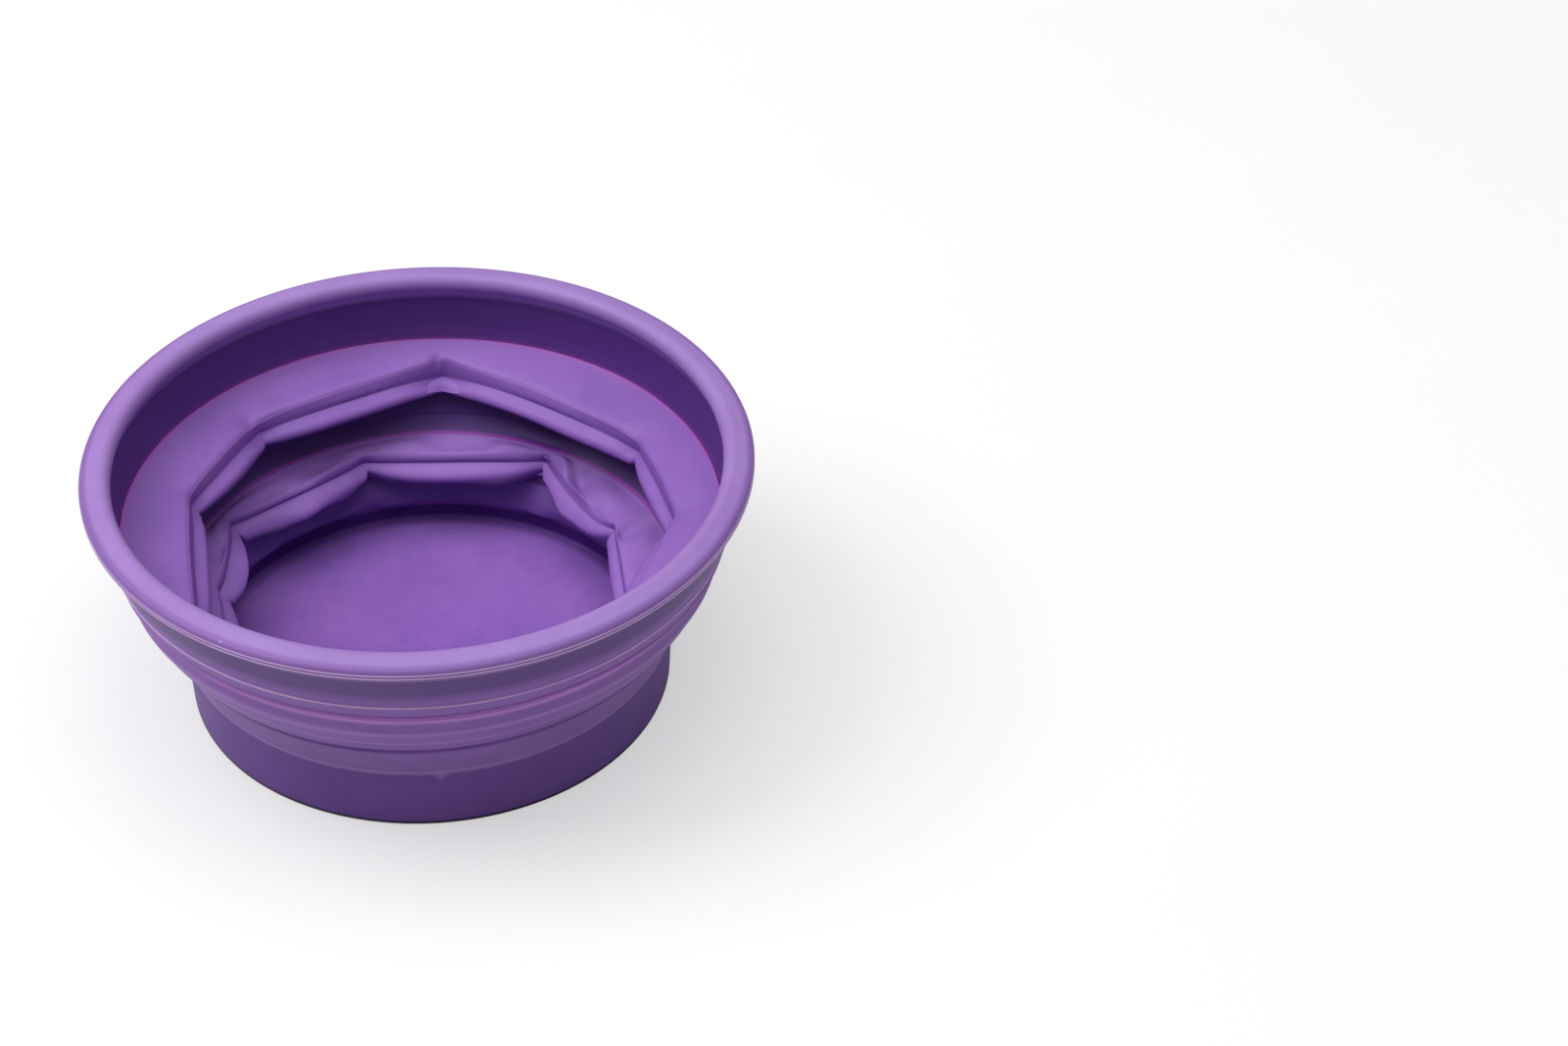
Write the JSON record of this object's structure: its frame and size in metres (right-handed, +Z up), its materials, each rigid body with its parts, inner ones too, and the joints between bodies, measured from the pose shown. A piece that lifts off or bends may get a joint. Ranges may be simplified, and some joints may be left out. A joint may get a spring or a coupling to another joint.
{
  "type": "collapsible silicone bowl",
  "caption": "round collapsible bowl of soft silicone with a rolled rim, stiff bands and two thin pleated folding webs, half folded",
  "frame": {"origin": "centre of the foot circle, on the surface that the bowl stands on", "axes": "+Z is up along the axis of the bowl; -Y faces the viewer of the picture, so +X is the viewer's right"},
  "size_m": [0.15, 0.15, 0.062],
  "materials": {
    "silicone_floor": "satin",
    "silicone_foot": "satin",
    "silicone_band": "satin",
    "silicone_web": "satin",
    "silicone_rim": "satin"
  },
  "bodies": {
    "base": {"floor_disc": "silicone_floor", "foot_wall": "silicone_foot", "skirt_band": "silicone_band", "lower_web": "silicone_web"},
    "middle": {"middle_band": "silicone_band", "upper_web": "silicone_web"},
    "top": {"hinge_lip": "silicone_band", "upper_band": "silicone_band", "rim_bead": "silicone_rim"}
  },
  "joints": [
    {"name": "lower_fold_slide", "type": "slide", "parent": "base", "child": "middle", "axis": [0, 0, 1], "range_m": [-0.0085, 0.02], "deforming": ["lower_web"]},
    {"name": "upper_fold_slide", "type": "slide", "parent": "middle", "child": "top", "axis": [0, 0, 1], "range_m": [-0.012, 0.02], "deforming": ["upper_web"]}
  ]
}
